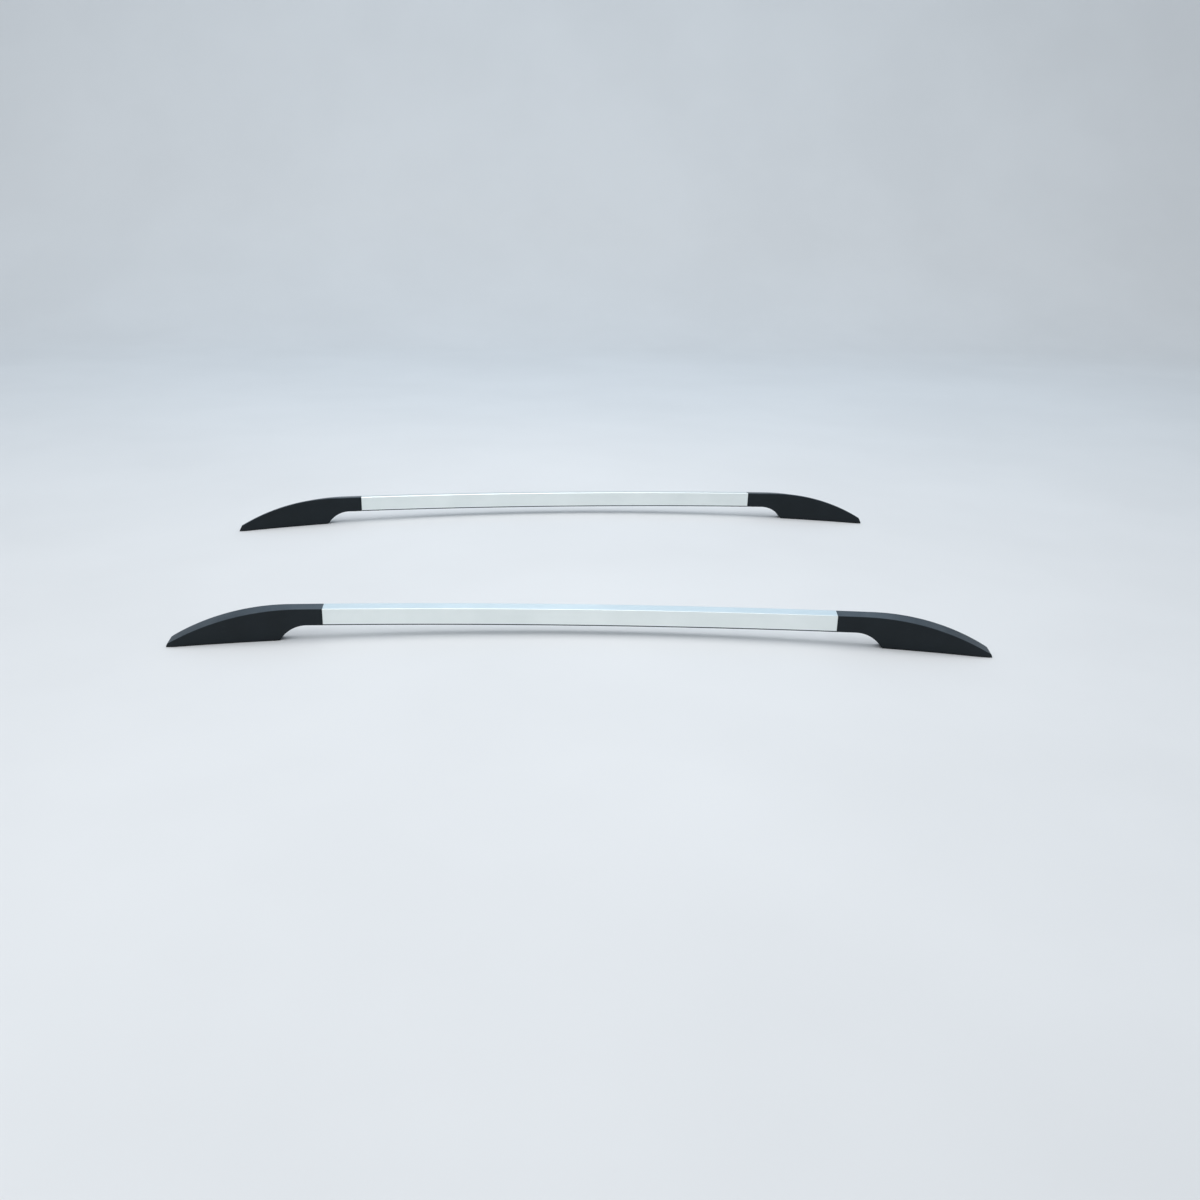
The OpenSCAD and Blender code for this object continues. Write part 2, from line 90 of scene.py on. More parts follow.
# What only the looks add: threads on the studs, small chamfers at the cut ends and finer steps
THREAD_PITCH = 0.001
THREAD_DEPTH = 0.0006
THREAD_SIDES = 24
THREAD_LEVELS = 8
CHAMFER = 0.0003
EDGE_STEPS = 6
BAR_STEPS = 96
ROUND_STEPS = 32
NECK_STEPS = 8
TURN_STEPS = 20
CORNER_RUN = 0.0024
CORNER_STEPS = 6
TAIL_STEPS = 48

# The last share of a cover's tail, over which its rings come to lean with the tip's rake, and the
# rounds that settle a leaning ring
RAKE_SHARE = 0.3
LEAN_ROUNDS = 12

# Steepness of the thread's flanks, in depths of the thread for each turn
THREAD_FLANK = 2.5

# How far a cutter reaches past the wall that it cuts
OVER = 0.002

# Edges sharper than this stay sharp
SHARP_ANGLE = math.radians(35)

TIP_X = RAIL_LENGTH / 2
CREASE_X = TIP_X - CREASE_SETBACK
TOP_X = TIP_X - TOP_SETBACK
NECK_X = TIP_X - NECK_SETBACK
TAIL_SCREW_X = TIP_X - TAIL_SCREW_SETBACK

SIDES = {"right": -1, "left": 1}
ENDS = {"front": 1, "rear": -1}

# Camera, fitted to the outlines of both rails in the photograph
CAMERA_PLACE = (-0.2076, -3.4557, 1.0656)
CAMERA_YAW = math.radians(4.767)
CAMERA_PITCH = math.radians(17.691)
CAMERA_ROLL = math.radians(-1.292)
CAMERA_LENS = 42.773
SENSOR_WIDTH = 36.0


# The rail's lines


def roof_z(x):
    """Height of the roof's arc above its level at the rail's tips."""
    return math.sqrt(ROOF_RADIUS ** 2 - x ** 2) - math.sqrt(ROOF_RADIUS ** 2 - TIP_X ** 2)


BAR_UNDER = roof_z(0) + BAR_GAP


def under_z(x):
    """Height of the bar's underside, carried on over the covers."""
    return BAR_UNDER - BOW_RADIUS + math.sqrt(BOW_RADIUS ** 2 - x ** 2)


NECK_CENTRE_Z = under_z(NECK_X) - NECK_RADIUS


def joint_x(end):
    """Place of the joint between the bar and the front (1) or rear (-1) cover."""
    return TIP_X - (FRONT_COVER_LENGTH if end > 0 else REAR_COVER_LENGTH)


def joint_angle(end):
    """How far the bar leans at a joint."""
    return math.asin(joint_x(end) / BOW_RADIUS)


def falling_z(x, start_x, rise, radius):
    """Height of an edge at a given rise over the underside, falling in an arc after start_x."""
    if x <= start_x:
        return under_z(x) + rise
    angle = math.asin(start_x / BOW_RADIUS)
    centre_x = start_x - radius * math.sin(angle)
    centre_z = under_z(start_x) + rise - radius * math.cos(angle)
    return centre_z + math.sqrt(radius ** 2 - (x - centre_x) ** 2)


def crease_z(x):
    return falling_z(x, CREASE_X, BAR_SIDE_HEIGHT, CREASE_ARC_RADIUS)


def top_z(x):
    return falling_z(x, TOP_X, BAR_SIDE_HEIGHT + BAR_TOP_RISE, TOP_ARC_RADIUS)


def half_width(x):
    """Half the width of a cover, which narrows at the nose."""
    t = max(0.0, (x - TIP_X) / NOSE_LENGTH + 1)
    return BAR_WIDTH / 2 - NOSE_NARROWING * t ** 2


def cover_low_z(x, inset):
    """Height of a cover's lower face along the neck and the turn, and low down in the tail."""
    radius = NECK_RADIUS + inset
    if x <= NECK_X:
        return under_z(x) + inset
    if x < NECK_X + radius:
        return NECK_CENTRE_Z + math.sqrt(radius ** 2 - (x - NECK_X) ** 2)
    return NECK_CENTRE_Z


def arc_corner(before, corner, after, radius):
    """One corner of an outline as an arc."""
    u = (before - corner).normalized()
    v = (after - corner).normalized()
    half = u.angle(v) / 2
    centre = corner + (u + v).normalized() * radius / math.sin(half)
    first = corner + u * radius / math.tan(half) - centre
    last = corner + v * radius / math.tan(half) - centre
    turn = math.copysign(math.pi - 2 * half, first.x * last.y - first.y * last.x)
    points = []
    for i in range(EDGE_STEPS + 1):
        c, s = math.cos(turn * i / EDGE_STEPS), math.sin(turn * i / EDGE_STEPS)
        points.append(centre + Vector((first.x * c - first.y * s, first.x * s + first.y * c)))
    return points


def rail_section(low, crease, top, half, inset):
    """The rail's cross-section as [across, up]: sides, top and edges drawn in by an inset."""
    slope = (top - crease) / (2 * half)
    drop = inset * math.sqrt(1 + slope ** 2)
    side = half - inset
    corners = [
        (Vector((side, low)), BOTTOM_EDGE_RADIUS),
        (Vector((side, crease + slope * inset - drop)), CREASE_RADIUS),
        (Vector((-side, top - slope * inset - drop)), INNER_EDGE_RADIUS),
        (Vector((-side, low)), BOTTOM_EDGE_RADIUS)]
    points = []
    for i, (corner, radius) in enumerate(corners):
        before, after = corners[i - 1][0], corners[(i + 1) % 4][0]
        points += arc_corner(before, corner, after, max(radius - inset, LEAST_RADIUS))
    return points


# Meshes in a rail's own frame


def ring_faces(rings, closed=True):
    """Quads between rings that follow each other."""
    n = len(rings[0])
    for a, b in zip(rings, rings[1:]):
        for j in range(n if closed else n - 1):
            k = (j + 1) % n
            yield a[j], b[j], b[k], a[k]


def fresh_mesh(name, bm):
    """The bmesh as a new mesh, with its faces turned outwards."""
    bmesh.ops.recalc_face_normals(bm, faces=bm.faces)
    mesh = bpy.data.meshes.new(name)
    bm.to_mesh(mesh)
    bm.free()
    return mesh


def prism(bm, outline, low, high):
    """A closed prism over an outline of [x, y], with its own height for each point."""
    lower = [bm.verts.new((p[0], p[1], z)) for p, z in zip(outline, low)]
    upper = [bm.verts.new((p[0], p[1], z)) for p, z in zip(outline, high)]
    n = len(outline)
    for j in range(n):
        k = (j + 1) % n
        bm.faces.new((lower[j], lower[k], upper[k], upper[j]))
    bm.faces.new(lower[::-1])
    bm.faces.new(upper)
    return lower + upper


def circle(x, y, radius):
    """The outline of a circle as [x, y]."""
    angles = [2 * math.pi * i / ROUND_STEPS for i in range(ROUND_STEPS)]
    return [(x + radius * math.cos(a), y + radius * math.sin(a)) for a in angles]


def hole_at_joint(bm, end, run, low, high, mirrored=1):
    """A round cutter through the underside, square to it, at a run outwards from a joint."""
    joint = Matrix.Translation((joint_x(end), 0, under_z(joint_x(end))))
    tilted = joint @ Matrix.Rotation(joint_angle(end), 4, "Y")
    place = Matrix.Diagonal((mirrored, 1, 1, 1)) @ tilted @ Matrix.Translation((run, 0, 0))
    verts = prism(bm, circle(0, 0, SCREW_HOLE_RADIUS), [low] * ROUND_STEPS, [high] * ROUND_STEPS)
    bmesh.ops.transform(bm, matrix=place, verts=verts)


def combined(mesh, other, operation):
    """The result of one boolean between two meshes."""
    base = bpy.data.objects.new("base", mesh)
    tool = bpy.data.objects.new("tool", other)
    for item in (base, tool):
        bpy.context.scene.collection.objects.link(item)
    modifier = base.modifiers.new("combine", "BOOLEAN")
    modifier.operation = operation
    modifier.solver = "EXACT"
    modifier.object = tool
    depsgraph = bpy.context.evaluated_depsgraph_get()
    result = bpy.data.meshes.new_from_object(base.evaluated_get(depsgraph))
    for item in (base, tool):
        bpy.data.objects.remove(item)
    return result


def bar_mesh():
    """The hollow bar, swept along its bow, with chamfered ends and four holes in its underside."""
    bm = bmesh.new()

    def ring(angle, inset):
        top = BAR_SIDE_HEIGHT + BAR_TOP_RISE
        section = rail_section(inset, BAR_SIDE_HEIGHT, top, BAR_WIDTH / 2, inset)
        return [bm.verts.new((
            (BOW_RADIUS + p.y) * math.sin(angle), p.x,
            BAR_UNDER - BOW_RADIUS + (BOW_RADIUS + p.y) * math.cos(angle))) for p in section]

    def row(first, last, inset):
        return [ring(first + (last - first) * i / BAR_STEPS, inset) for i in range(BAR_STEPS + 1)]

    first, last, chamfer = -joint_angle(-1), joint_angle(1), CHAMFER / BOW_RADIUS
    outer = [ring(first, CHAMFER)] + row(first + chamfer, last - chamfer, 0) + [ring(last, CHAMFER)]
    inner = row(first, last, BAR_WALL)
    loop = outer + inner[::-1] + outer[:1]
    for face in ring_faces(loop):
        bm.faces.new(face)
    cutters = bmesh.new()
    for end in ENDS.values():
        for run in BAR_SCREW_PLACES:
            hole_at_joint(cutters, end, run, -OVER, BAR_WALL + OVER / 2, end)
    return combined(fresh_mesh("bar", bm), fresh_mesh("bar_holes", cutters), "DIFFERENCE")


def leaning_ring(station, lean, lean_from, inset, trimmed):
    """One ring of a cover at a station, where x grows by lean for each metre of height."""
    count = 4 * (EDGE_STEPS + 1)
    places = []
    for j in range(count):
        x = station
        for _ in range(LEAN_ROUNDS if lean else 1):
            low = cover_low_z(x, inset)
            y, z = rail_section(low, crease_z(x), top_z(x), half_width(x), inset)[j]
            floor = roof_z(x) + PAD_THICKNESS
            on_floor = trimmed and z < floor
            if on_floor:
                z = floor
            x = station + lean * (z - lean_from)
        places.append(((x, y, z), on_floor))
    return places


def cover_rings(end, inset):
    """Rings of a cover's outer or inner face from the joint to the tip."""
    radius = NECK_RADIUS + inset
    joint_lean = math.tan(joint_angle(end))
    start = joint_x(end) + JOINT_GAP / math.cos(joint_angle(end))
    rings = []
    if inset == 0:
        rings.append((start, joint_lean, CHAMFER))
        start += CHAMFER
    for i in range(NECK_STEPS):
        t = i / NECK_STEPS
        rings.append((start + (NECK_X - start) * t, joint_lean * (1 - t), inset))
    turn_low = roof_z(NECK_X + radius) + PAD_THICKNESS - NECK_CENTRE_Z
    turn_x = NECK_X + math.sqrt(radius ** 2 - turn_low ** 2)
    last_angle = math.asin((turn_x - NECK_X) / radius)
    for i in range(TURN_STEPS + 1):
        rings.append((NECK_X + radius * math.sin(last_angle * i / TURN_STEPS), 0.0, inset))
    for i in range(1, CORNER_STEPS + 1):
        rings.append((turn_x + CORNER_RUN * i / CORNER_STEPS, 0.0, inset))
    tail_start = turn_x + CORNER_RUN
    tail_end = TIP_X - max(inset, CHAMFER)
    for i in range(1, TAIL_STEPS + 1):
        t = i / TAIL_STEPS
        lean = -TIP_RAKE * max(0.0, (t - (1 - RAKE_SHARE)) / RAKE_SHARE) ** 2
        rings.append((tail_start + (tail_end - tail_start) * t, lean, inset))
    if inset == 0:
        rings.append((TIP_X, -TIP_RAKE, CHAMFER))
    joint_under = under_z(joint_x(end))
    return [
        leaning_ring(station, lean, joint_under if lean > 0 else 0.0, ring_inset, station > NECK_X)
        for station, lean, ring_inset in rings]


def cover_skin(bm, rings):
    """One face of the cover's shell, left open where it stands on the roof, with a closed tip."""
    verts = [[bm.verts.new(place) for place, _ in ring] for ring in rings]
    floored = {
        v for ring, row in zip(rings, verts) for (_, on_floor), v in zip(ring, row) if on_floor}
    for face in ring_faces(verts):
        if not all(v in floored for v in face):
            bm.faces.new(face)
    last = verts[-1]
    after = last[1:] + last[:1]
    bm.faces.new([v for j, v in enumerate(last) if {last[j - 1], v, after[j]} - floored])
    for vert in [v for row in verts for v in row if not v.link_faces]:
        bm.verts.remove(vert)
    return verts[0]


def cover_mesh(end):
    """The moulded cover: a shell with a falling top facet, ribs, a screw boss and two holes."""
    bm = bmesh.new()
    outer = cover_skin(bm, cover_rings(end, 0.0))
    inner = cover_skin(bm, cover_rings(end, COVER_WALL))
    ends = set(outer) | set(inner)
    rim = [e for e in bm.edges if e.is_boundary and not all(v in ends for v in e.verts)]
    bmesh.ops.triangle_fill(bm, use_beauty=True, edges=rim, normal=(0, 0, -1))
    for face in ring_faces([outer, inner]):
        bm.faces.new(face)
    shell = fresh_mesh("cover_shell", bm)

    def sunk_z(x, y):
        """A height in the middle of the top wall."""
        share = 0.5 - y / (2 * half_width(x))
        return crease_z(x) + (top_z(x) - crease_z(x)) * share - COVER_WALL / 2

    bm = bmesh.new()
    side = BAR_WIDTH / 2 - COVER_WALL / 2
    for i in range(RIB_COUNT):
        x = TIP_X - RIB_SETBACK + i * RIB_PITCH
        far_x = x + RIB_THICKNESS
        outline = [(x, -side), (far_x, -side), (far_x, side), (x, side)]
        low = crease_z(far_x) - COVER_WALL - RIB_DEPTH
        prism(bm, outline, [low] * 4, [sunk_z(px, py) for px, py in outline])
    outline = circle(TAIL_SCREW_X, 0, COVER_BOSS_RADIUS)
    low = roof_z(TAIL_SCREW_X) + TAIL_BOSS_HEIGHT
    prism(bm, outline, [low] * ROUND_STEPS, [sunk_z(px, py) for px, py in outline])
    ribbed = combined(shell, fresh_mesh("cover_ribs", bm), "UNION")

    bm = bmesh.new()
    hole_at_joint(bm, end, NECK_SCREW_RUN, -OVER, COVER_WALL + OVER)
    high = roof_z(TAIL_SCREW_X) + TAIL_HOLE_HEIGHT
    outline = circle(TAIL_SCREW_X, 0, SCREW_HOLE_RADIUS)
    prism(bm, outline, [low - OVER] * ROUND_STEPS, [high] * ROUND_STEPS)
    return combined(ribbed, fresh_mesh("cover_holes", bm), "DIFFERENCE")


def lathed(bm, x, y, rings):
    """A closed body of rings about an upright axis, each given as its height and its radii."""
    count = len(rings[0][1])
    angles = [2 * math.pi * i / count for i in range(count)]
    rows = []
    for z, radii in rings:
        places = [(x + r * math.cos(a), y + r * math.sin(a), z) for r, a in zip(radii, angles)]
        rows.append([bm.verts.new(place) for place in places])
    for face in ring_faces(rows):
        bm.faces.new(face)
    bm.faces.new(rows[0][::-1])
    bm.faces.new(rows[-1])


def studs_mesh(end, hand):
    """The two studs of one foot, with a thread that turns right-handed once it is placed."""
    bm = bmesh.new()
    root = STUD_RADIUS - THREAD_DEPTH
    steps = round(STUD_THREAD_LENGTH / THREAD_PITCH) * THREAD_LEVELS
    for i in (0, 1):
        x = TIP_X - STUD_SETBACK + (i - 0.5) * STUD_SPACING * math.cos(TOE)
        y = -end * (i - 0.5) * STUD_SPACING * math.sin(TOE)
        step_z = roof_z(x) - SHANK_DROP
        rings = []
        for level in range(steps + 1):
            below = STUD_THREAD_LENGTH * (1 - level / steps)
            near_end = min(below, STUD_THREAD_LENGTH - below) / THREAD_PITCH
            radii = []
            for k in range(THREAD_SIDES):
                phase = (below / THREAD_PITCH + hand * k / THREAD_SIDES) % 1.0
                flank = THREAD_FLANK / 2 - abs(THREAD_FLANK * phase - THREAD_FLANK / 2)
                ridge = min(1.0, max(0.0, flank))
                radii.append(root + THREAD_DEPTH * ridge * min(1.0, near_end))
            rings.append((step_z - below, radii))
        rings[0] = (rings[0][0], [root - CHAMFER] * THREAD_SIDES)
        for z, radius in (
                (0.0, SHANK_RADIUS - CHAMFER), (CHAMFER, SHANK_RADIUS),
                (SHANK_LENGTH - CHAMFER, SHANK_RADIUS), (SHANK_LENGTH, SHANK_RADIUS - CHAMFER)):
            rings.append((step_z + z, [radius] * THREAD_SIDES))
        lathed(bm, x, y, rings)
    return fresh_mesh("studs", bm)


# Placing the pieces


# Height of the roof at the rails' tips above the lowest stud ends, which are at z = 0
OUTER_STUD_X = TIP_X - STUD_SETBACK + STUD_SPACING / 2 * math.cos(TOE)
LIFT = STUD_THREAD_LENGTH + SHANK_DROP - roof_z(OUTER_STUD_X)


def rail_place(side, end):
    """From a rail's own frame, mirrored for a rear end, to the whole object's."""
    left = Matrix.Translation((0, RAIL_TRACK / 2, LIFT)) @ Matrix.Rotation(TOE, 4, "Z")
    return Matrix.Diagonal((1, side, 1, 1)) @ left @ Matrix.Diagonal((end, 1, 1, 1))


def stand_in(node, mesh, side, end, material):
    """A finer piece that stands for one CAD node."""
    mesh = mesh.copy()
    mesh.name = node + "_fine"
    mesh.transform(rail_place(side, end))
    if side * end < 0:
        mesh.flip_normals()
    mesh.materials.clear()
    mesh.materials.append(material)
    mesh.polygons.foreach_set("use_smooth", [True] * len(mesh.polygons))
    mesh.set_sharp_from_angle(angle=SHARP_ANGLE)
    piece = bpy.data.objects.new(node + "_fine", mesh)
    bpy.context.scene.collection.objects.link(piece)
    modifier = piece.modifiers.new("normals", "WEIGHTED_NORMAL")
    modifier.keep_sharp = True
    modifier.weight = 100
    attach(piece, "root")
    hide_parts(node)


# Materials


def node_material(name):
    material = bpy.data.materials.new(name)
    material.use_nodes = True
    tree = material.node_tree
    return material, tree, tree.nodes["Principled BSDF"]


def add_node(tree, kind, inputs=None, **settings):
    """One node with its plain settings and unlinked inputs."""
    node = tree.nodes.new(kind)
    for key, value in settings.items():
        setattr(node, key, value)
    for key, value in (inputs or {}).items():
        node.inputs[key].default_value = value
    return node


def object_coordinates(tree, scale=(1.0, 1.0, 1.0), turn=0.0):
    """Object coordinates, turned about Z and stretched."""
    place = add_node(tree, "ShaderNodeTexCoord")
    turned = add_node(tree, "ShaderNodeMapping", {"Rotation": (0.0, 0.0, turn)})
    mapping = add_node(tree, "ShaderNodeMapping", {"Scale": scale})
    tree.links.new(place.outputs["Object"], turned.inputs["Vector"])
    tree.links.new(turned.outputs["Vector"], mapping.inputs["Vector"])
    return mapping.outputs["Vector"]


def noise(tree, vector, scale, detail=4.0, roughness=0.55):
    node = add_node(tree, "ShaderNodeTexNoise", {
        "Scale": scale, "Detail": detail, "Roughness": roughness})
    tree.links.new(vector, node.inputs["Vector"])
    return node.outputs["Fac"]


def ramp(tree, value, low, high, low_at=0.35, high_at=0.65):
    """A colour ramp of a value between two places."""
    node = add_node(tree, "ShaderNodeValToRGB")
    for element, colour, place in zip(node.color_ramp.elements, (low, high), (low_at, high_at)):
        element.position = place
        element.color = (*colour, 1.0)
    tree.links.new(value, node.inputs["Fac"])
    return node.outputs["Color"]


def spread(tree, value, low, high, from_low=0.0, from_high=1.0):
    """Maps a value from one range to another."""
    node = add_node(tree, "ShaderNodeMapRange", {
        "From Min": from_low, "From Max": from_high, "To Min": low, "To Max": high})
    tree.links.new(value, node.inputs["Value"])
    return node.outputs["Result"]


def mixed(tree, factor, first, second):
    """A colour that goes from the first to the second with a factor."""
    node = add_node(tree, "ShaderNodeMix", data_type="RGBA")
    tree.links.new(factor, node.inputs["Factor"])
    tree.links.new(first, node.inputs["A"])
    tree.links.new(second, node.inputs["B"])
    return node.outputs["Result"]


def bump(tree, shader, height, strength, distance, below=None):
    """Bumps the shader's normal by a height, over the bump below, and gives the new normal."""
    node = add_node(tree, "ShaderNodeBump", {"Strength": strength, "Distance": distance})
    tree.links.new(height, node.inputs["Height"])
    if below is not None:
        tree.links.new(below, node.inputs["Normal"])
    tree.links.new(node.outputs["Normal"], shader.inputs["Normal"])
    return node.outputs["Normal"]


def facing_up(tree):
    """How far the surface faces up: 1 straight up, 0 for upright walls, -1 straight down."""
    geometry = add_node(tree, "ShaderNodeNewGeometry")
    parts = add_node(tree, "ShaderNodeSeparateXYZ")
    tree.links.new(geometry.outputs["True Normal"], parts.inputs["Vector"])
    return parts.outputs["Z"]


def bar_material(side, turn):
    """Satin anodised aluminium with faint lines along the bar, and painted shade: a dark colour
    where its lower edges and underside face down.
    """
    material, tree, shader = node_material(side + "_bar_aluminium")
    shader.inputs["Metallic"].default_value = 1.0
    lines = noise(tree, object_coordinates(tree, (1.5, 900.0, 900.0), turn), 1.0, 3.0)
    cloud = noise(tree, object_coordinates(tree, turn=turn), 9.0, 3.0)
    grain = noise(tree, object_coordinates(tree), 2600.0, 2.0)
    clean = ramp(tree, cloud, (0.840, 0.885, 0.865), (0.890, 0.930, 0.910))
    # Painted shade: a dark colour for surfaces that face down, standing in for the shaded roof
    # mirrored in the lower edges
    painted_shade_colour = ramp(tree, cloud, (0.030, 0.044, 0.052), (0.070, 0.090, 0.100))
    edges = spread(tree, facing_up(tree), 0.0, 1.0, -0.02, -0.12)
    middle = spread(tree, facing_up(tree), 1.0, 0.45, -0.80, -0.99)
    # Mask of the painted shade: full on the lower edges as they turn down, less on the flat
    # underside
    painted_shade_mask = add_node(tree, "ShaderNodeMath", operation="MULTIPLY")
    tree.links.new(edges, painted_shade_mask.inputs[0])
    tree.links.new(middle, painted_shade_mask.inputs[1])
    tree.links.new(mixed(tree, painted_shade_mask.outputs[0], clean, painted_shade_colour), shader.inputs["Base Color"])
    tree.links.new(spread(tree, lines, 0.28, 0.40), shader.inputs["Roughness"])
    fine = bump(tree, shader, grain, 0.08, 0.0002)
    bump(tree, shader, lines, 0.06, 0.0002, fine)
    return material


def cover_material(name):
    """Fine grained charcoal plastic with painted light: lighter where it faces up and darker on its
    upright walls, with faint scuffs along it.
    """
    material, tree, shader = node_material(name)
    shader.inputs["Specular IOR Level"].default_value = 0.27
    vector = object_coordinates(tree)
    cloud = noise(tree, vector, 14.0, 4.0)
    cells = add_node(tree, "ShaderNodeTexVoronoi", {"Scale": 1500.0})
    tree.links.new(vector, cells.inputs["Vector"])
    # Painted light and shade: a darker colour for upright walls and a lighter one for faces that
    # look up, mixed by how far the surface faces up
    dark = ramp(tree, cloud, (0.0014, 0.0056, 0.0086), (0.0032, 0.0082, 0.0118))
    painted_top_light = ramp(tree, cloud, (0.034, 0.048, 0.062), (0.054, 0.072, 0.088))
    painted_light_by_facing = mixed(tree, spread(tree, facing_up(tree), 0.0, 1.0, 0.2, 0.95), dark, painted_top_light)
    marks = noise(tree, object_coordinates(tree, (14.0, 260.0, 260.0)), 1.0, 5.0, 0.6)
    scuffs = ramp(tree, marks, (0.0, 0.0, 0.0), (0.32, 0.32, 0.32), 0.66, 0.76)
    worn = ramp(tree, cloud, (0.030, 0.036, 0.042), (0.050, 0.058, 0.066))
    tree.links.new(mixed(tree, scuffs, painted_light_by_facing, worn), shader.inputs["Base Color"])
    tree.links.new(spread(tree, cloud, 0.30, 0.42), shader.inputs["Roughness"])
    bump(tree, shader, cells.outputs["Distance"], 0.16, 0.0003)
    return material


def rubber_material(name):
    """Matt black moulded rubber."""
    material, tree, shader = node_material(name)
    shader.inputs["Specular IOR Level"].default_value = 0.35
    vector = object_coordinates(tree)
    cloud = noise(tree, vector, 60.0, 4.0)
    grain = noise(tree, vector, 1800.0, 3.0)
    colour = ramp(tree, cloud, (0.012, 0.012, 0.012), (0.024, 0.024, 0.023))
    tree.links.new(colour, shader.inputs["Base Color"])
    tree.links.new(spread(tree, cloud, 0.68, 0.82), shader.inputs["Roughness"])
    bump(tree, shader, grain, 0.25, 0.0003)
    return material


def cast_material(name):
    """Die cast aluminium as cast."""
    material, tree, shader = node_material(name)
    shader.inputs["Metallic"].default_value = 1.0
    vector = object_coordinates(tree)
    cloud = noise(tree, vector, 30.0, 5.0)
    grain = noise(tree, vector, 900.0, 4.0)
    colour = ramp(tree, cloud, (0.42, 0.43, 0.44), (0.54, 0.55, 0.56))
    tree.links.new(colour, shader.inputs["Base Color"])
    tree.links.new(spread(tree, cloud, 0.48, 0.64), shader.inputs["Roughness"])
    bump(tree, shader, grain, 0.35, 0.0004)
    return material


def zinc_material(name):
    """Zinc plated steel."""
    material, tree, shader = node_material(name)
    shader.inputs["Metallic"].default_value = 1.0
    vector = object_coordinates(tree)
    cloud = noise(tree, vector, 220.0, 4.0)
    colour = ramp(tree, cloud, (0.58, 0.57, 0.50), (0.74, 0.73, 0.68))
    tree.links.new(colour, shader.inputs["Base Color"])
    tree.links.new(spread(tree, cloud, 0.28, 0.42), shader.inputs["Roughness"])
    bump(tree, shader, cloud, 0.12, 0.0002)
    return material


def floor_material():
    """Pale matt floor and backdrop."""
    material, tree, shader = node_material("floor")
    cloud = noise(tree, object_coordinates(tree), 1.4, 3.0)
    colour = ramp(tree, cloud, (0.74, 0.745, 0.75), (0.765, 0.77, 0.775))
    tree.links.new(colour, shader.inputs["Base Color"])
    shader.inputs["Roughness"].default_value = 0.75
    return material


def dress(node, material):
    """Gives a CAD node its finish."""
    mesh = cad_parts[node].data
    mesh.materials.clear()
    mesh.materials.append(material)


# Camera, floor and light


def add_camera():
    """The photo's camera, which looks from the right-hand side of the object."""
    forward = Vector((
        math.sin(CAMERA_YAW) * math.cos(CAMERA_PITCH),
        math.cos(CAMERA_YAW) * math.cos(CAMERA_PITCH),
        -math.sin(CAMERA_PITCH)))
    right = Vector((math.cos(CAMERA_YAW), -math.sin(CAMERA_YAW), 0))
    down = forward.cross(right)
    rolled_right = right * math.cos(CAMERA_ROLL) + down * math.sin(CAMERA_ROLL)
    rolled_down = down * math.cos(CAMERA_ROLL) - right * math.sin(CAMERA_ROLL)
    data = bpy.data.cameras.new("camera")
    data.sensor_width = SENSOR_WIDTH
    data.lens = CAMERA_LENS
    data.clip_end = 100.0
    camera = bpy.data.objects.new("camera", data)
    axes = Matrix((rolled_right, -rolled_down, -forward)).transposed()
    camera.matrix_world = Matrix.Translation(CAMERA_PLACE) @ axes.to_4x4()
    bpy.context.scene.collection.objects.link(camera)
    bpy.context.scene.camera = camera


# The floor follows the roof's arc as far as its crown goes along x and then eases out to level.
# Along y the crown fades between two distances from the middle.
FLOOR_CROWN_END = 0.95
FLOOR_EASE = 0.8
CROWN_FADE = (1.2, 3.2)

# How far the floor lies below the pads, its grid near the rails, and its far lines
FLOOR_GAP = 0.0003
FLOOR_STEP_X = 0.025
FLOOR_STEPS_X = 100
FLOOR_STEP_Y = 0.1
FLOOR_STEPS_Y = 45
FLOOR_FAR = (5.0, 9.0)
FLOOR_REACH = 40.0

# The backdrop's round foot and top
WALL_START = 4.5
WALL_RADIUS = 2.0
WALL_STEPS = 24
WALL_TOP = 9.0


def floor_z(x, y):
    """The floor follows the roof's arc under the rails and eases out to level beyond them."""
    slope = -FLOOR_CROWN_END / math.sqrt(ROOF_RADIUS ** 2 - FLOOR_CROWN_END ** 2)
    level = LIFT + roof_z(FLOOR_CROWN_END) - FLOOR_GAP + slope * FLOOR_EASE / 2
    t = min(max(abs(x) - FLOOR_CROWN_END, 0.0), FLOOR_EASE)
    eased = slope * (t - t * t / (2 * FLOOR_EASE))
    crown = LIFT + roof_z(min(abs(x), FLOOR_CROWN_END)) - FLOOR_GAP + eased
    fade = min(max((abs(y) - CROWN_FADE[0]) / (CROWN_FADE[1] - CROWN_FADE[0]), 0.0), 1.0)
    return crown + (level - crown) * fade * fade * (3 - 2 * fade)


def add_floor(material):
    """A pale floor that turns up into a backdrop behind the rails."""
    far = [*FLOOR_FAR, FLOOR_REACH]
    near = [i * FLOOR_STEP_X for i in range(-FLOOR_STEPS_X, FLOOR_STEPS_X + 1)]
    xs = [-x for x in reversed(far)] + near + far
    profile = [(-FLOOR_REACH, 0.0), (-FLOOR_FAR[1], 0.0)]
    profile += [(i * FLOOR_STEP_Y, 0.0) for i in range(-FLOOR_STEPS_Y, FLOOR_STEPS_Y + 1)]
    for i in range(1, WALL_STEPS + 1):
        a = math.pi / 2 * i / WALL_STEPS
        profile.append((WALL_START + WALL_RADIUS * math.sin(a), WALL_RADIUS * (1 - math.cos(a))))
    profile.append((WALL_START + WALL_RADIUS, WALL_TOP))
    bm = bmesh.new()
    rows = [[bm.verts.new((x, y, z + floor_z(x, y))) for x in xs] for y, z in profile]
    for face in ring_faces(rows, closed=False):
        bm.faces.new(face)
    mesh = fresh_mesh("floor", bm)
    mesh.polygons.foreach_set("use_smooth", [True] * len(mesh.polygons))
    mesh.materials.append(material)
    floor = bpy.data.objects.new("floor", mesh)
    bpy.context.scene.collection.objects.link(floor)


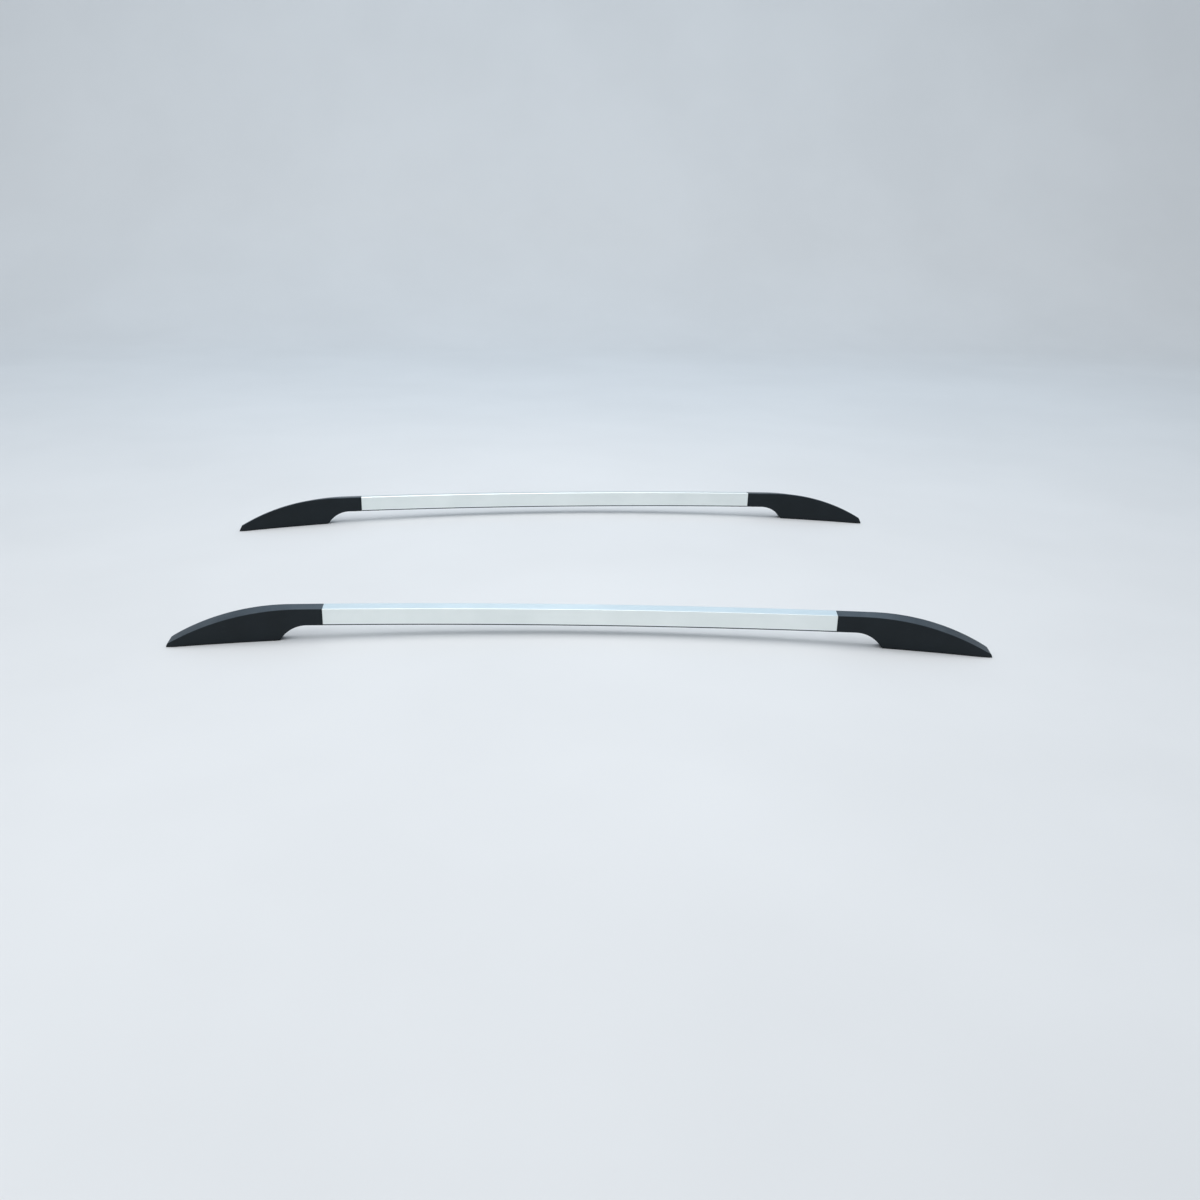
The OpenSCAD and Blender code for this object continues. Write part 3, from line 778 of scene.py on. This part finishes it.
def area_light(name, place, target, size, power, colour=(1.0, 1.0, 1.0)):
    """A soft rectangular lamp at a place, turned to a target, unseen by the camera."""
    data = bpy.data.lights.new(name, "AREA")
    data.shape = "RECTANGLE"
    data.size, data.size_y = size
    data.energy = power
    data.color = colour
    light = bpy.data.objects.new(name, data)
    light.location = place
    light.rotation_euler = (Vector(target) - Vector(place)).to_track_quat("-Z", "Y").to_euler()
    light.visible_camera = False
    bpy.context.scene.collection.objects.link(light)


def add_world():
    """An even pale light from all round."""
    world = bpy.data.worlds.new("studio")
    world.use_nodes = True
    background = world.node_tree.nodes["Background"]
    background.inputs["Color"].default_value = (0.88, 0.94, 1.0, 1.0)
    background.inputs["Strength"].default_value = 0.62
    bpy.context.scene.world = world


def build_pieces():
    """The finer pieces that stand for bars, covers and studs, and the finish of all the others."""
    bar = bar_mesh()
    covers = {end: cover_mesh(direction) for end, direction in ENDS.items()}
    plastic = cover_material("charcoal_plastic")
    rubber = rubber_material("black_rubber")
    zinc = zinc_material("zinc_steel")
    finishes = {
        "foot": cast_material("cast_aluminium"), "gasket": rubber, "stud_seals": rubber,
        "bar_screws": zinc, "cover_screws": zinc}
    for side, sign in SIDES.items():
        aluminium = bar_material(side, -sign * TOE)
        stand_in(side + "_rail_bar", bar, sign, 1, aluminium)
        for end, direction in ENDS.items():
            stand_in(f"{side}_{end}_cover", covers[end], sign, direction, plastic)
            studs = studs_mesh(direction, sign * direction)
            stand_in(f"{side}_{end}_studs", studs, sign, direction, zinc)
            for part, material in finishes.items():
                dress(f"{side}_{end}_{part}", material)


add_camera()
add_floor(floor_material())

# The bars' top facets mirror the backdrop, which the wash lamp lights, and the back lamp. Their
# creases mirror the top lamp.
area_light("key", (-1.6, -2.6, 3.2), (0.0, -0.5, 0.1), (3.0, 2.0), 38.0)
area_light("top", (0.2, 0.2, 3.6), (0.0, 0.0, 0.0), (4.0, 3.0), 66.0, (0.95, 0.975, 1.0))
area_light("back", (0.4, 4.2, 3.0), (0.0, 0.0, 0.0), (6.0, 2.2), 15.0, (0.26, 0.62, 1.0))
area_light("wash", (0.0, 2.4, 4.4), (0.0, 6.5, 2.2), (8.0, 1.4), 66.0, (0.76, 0.89, 1.0))
add_world()
build_pieces()

bpy.context.scene.view_settings.view_transform = "Standard"
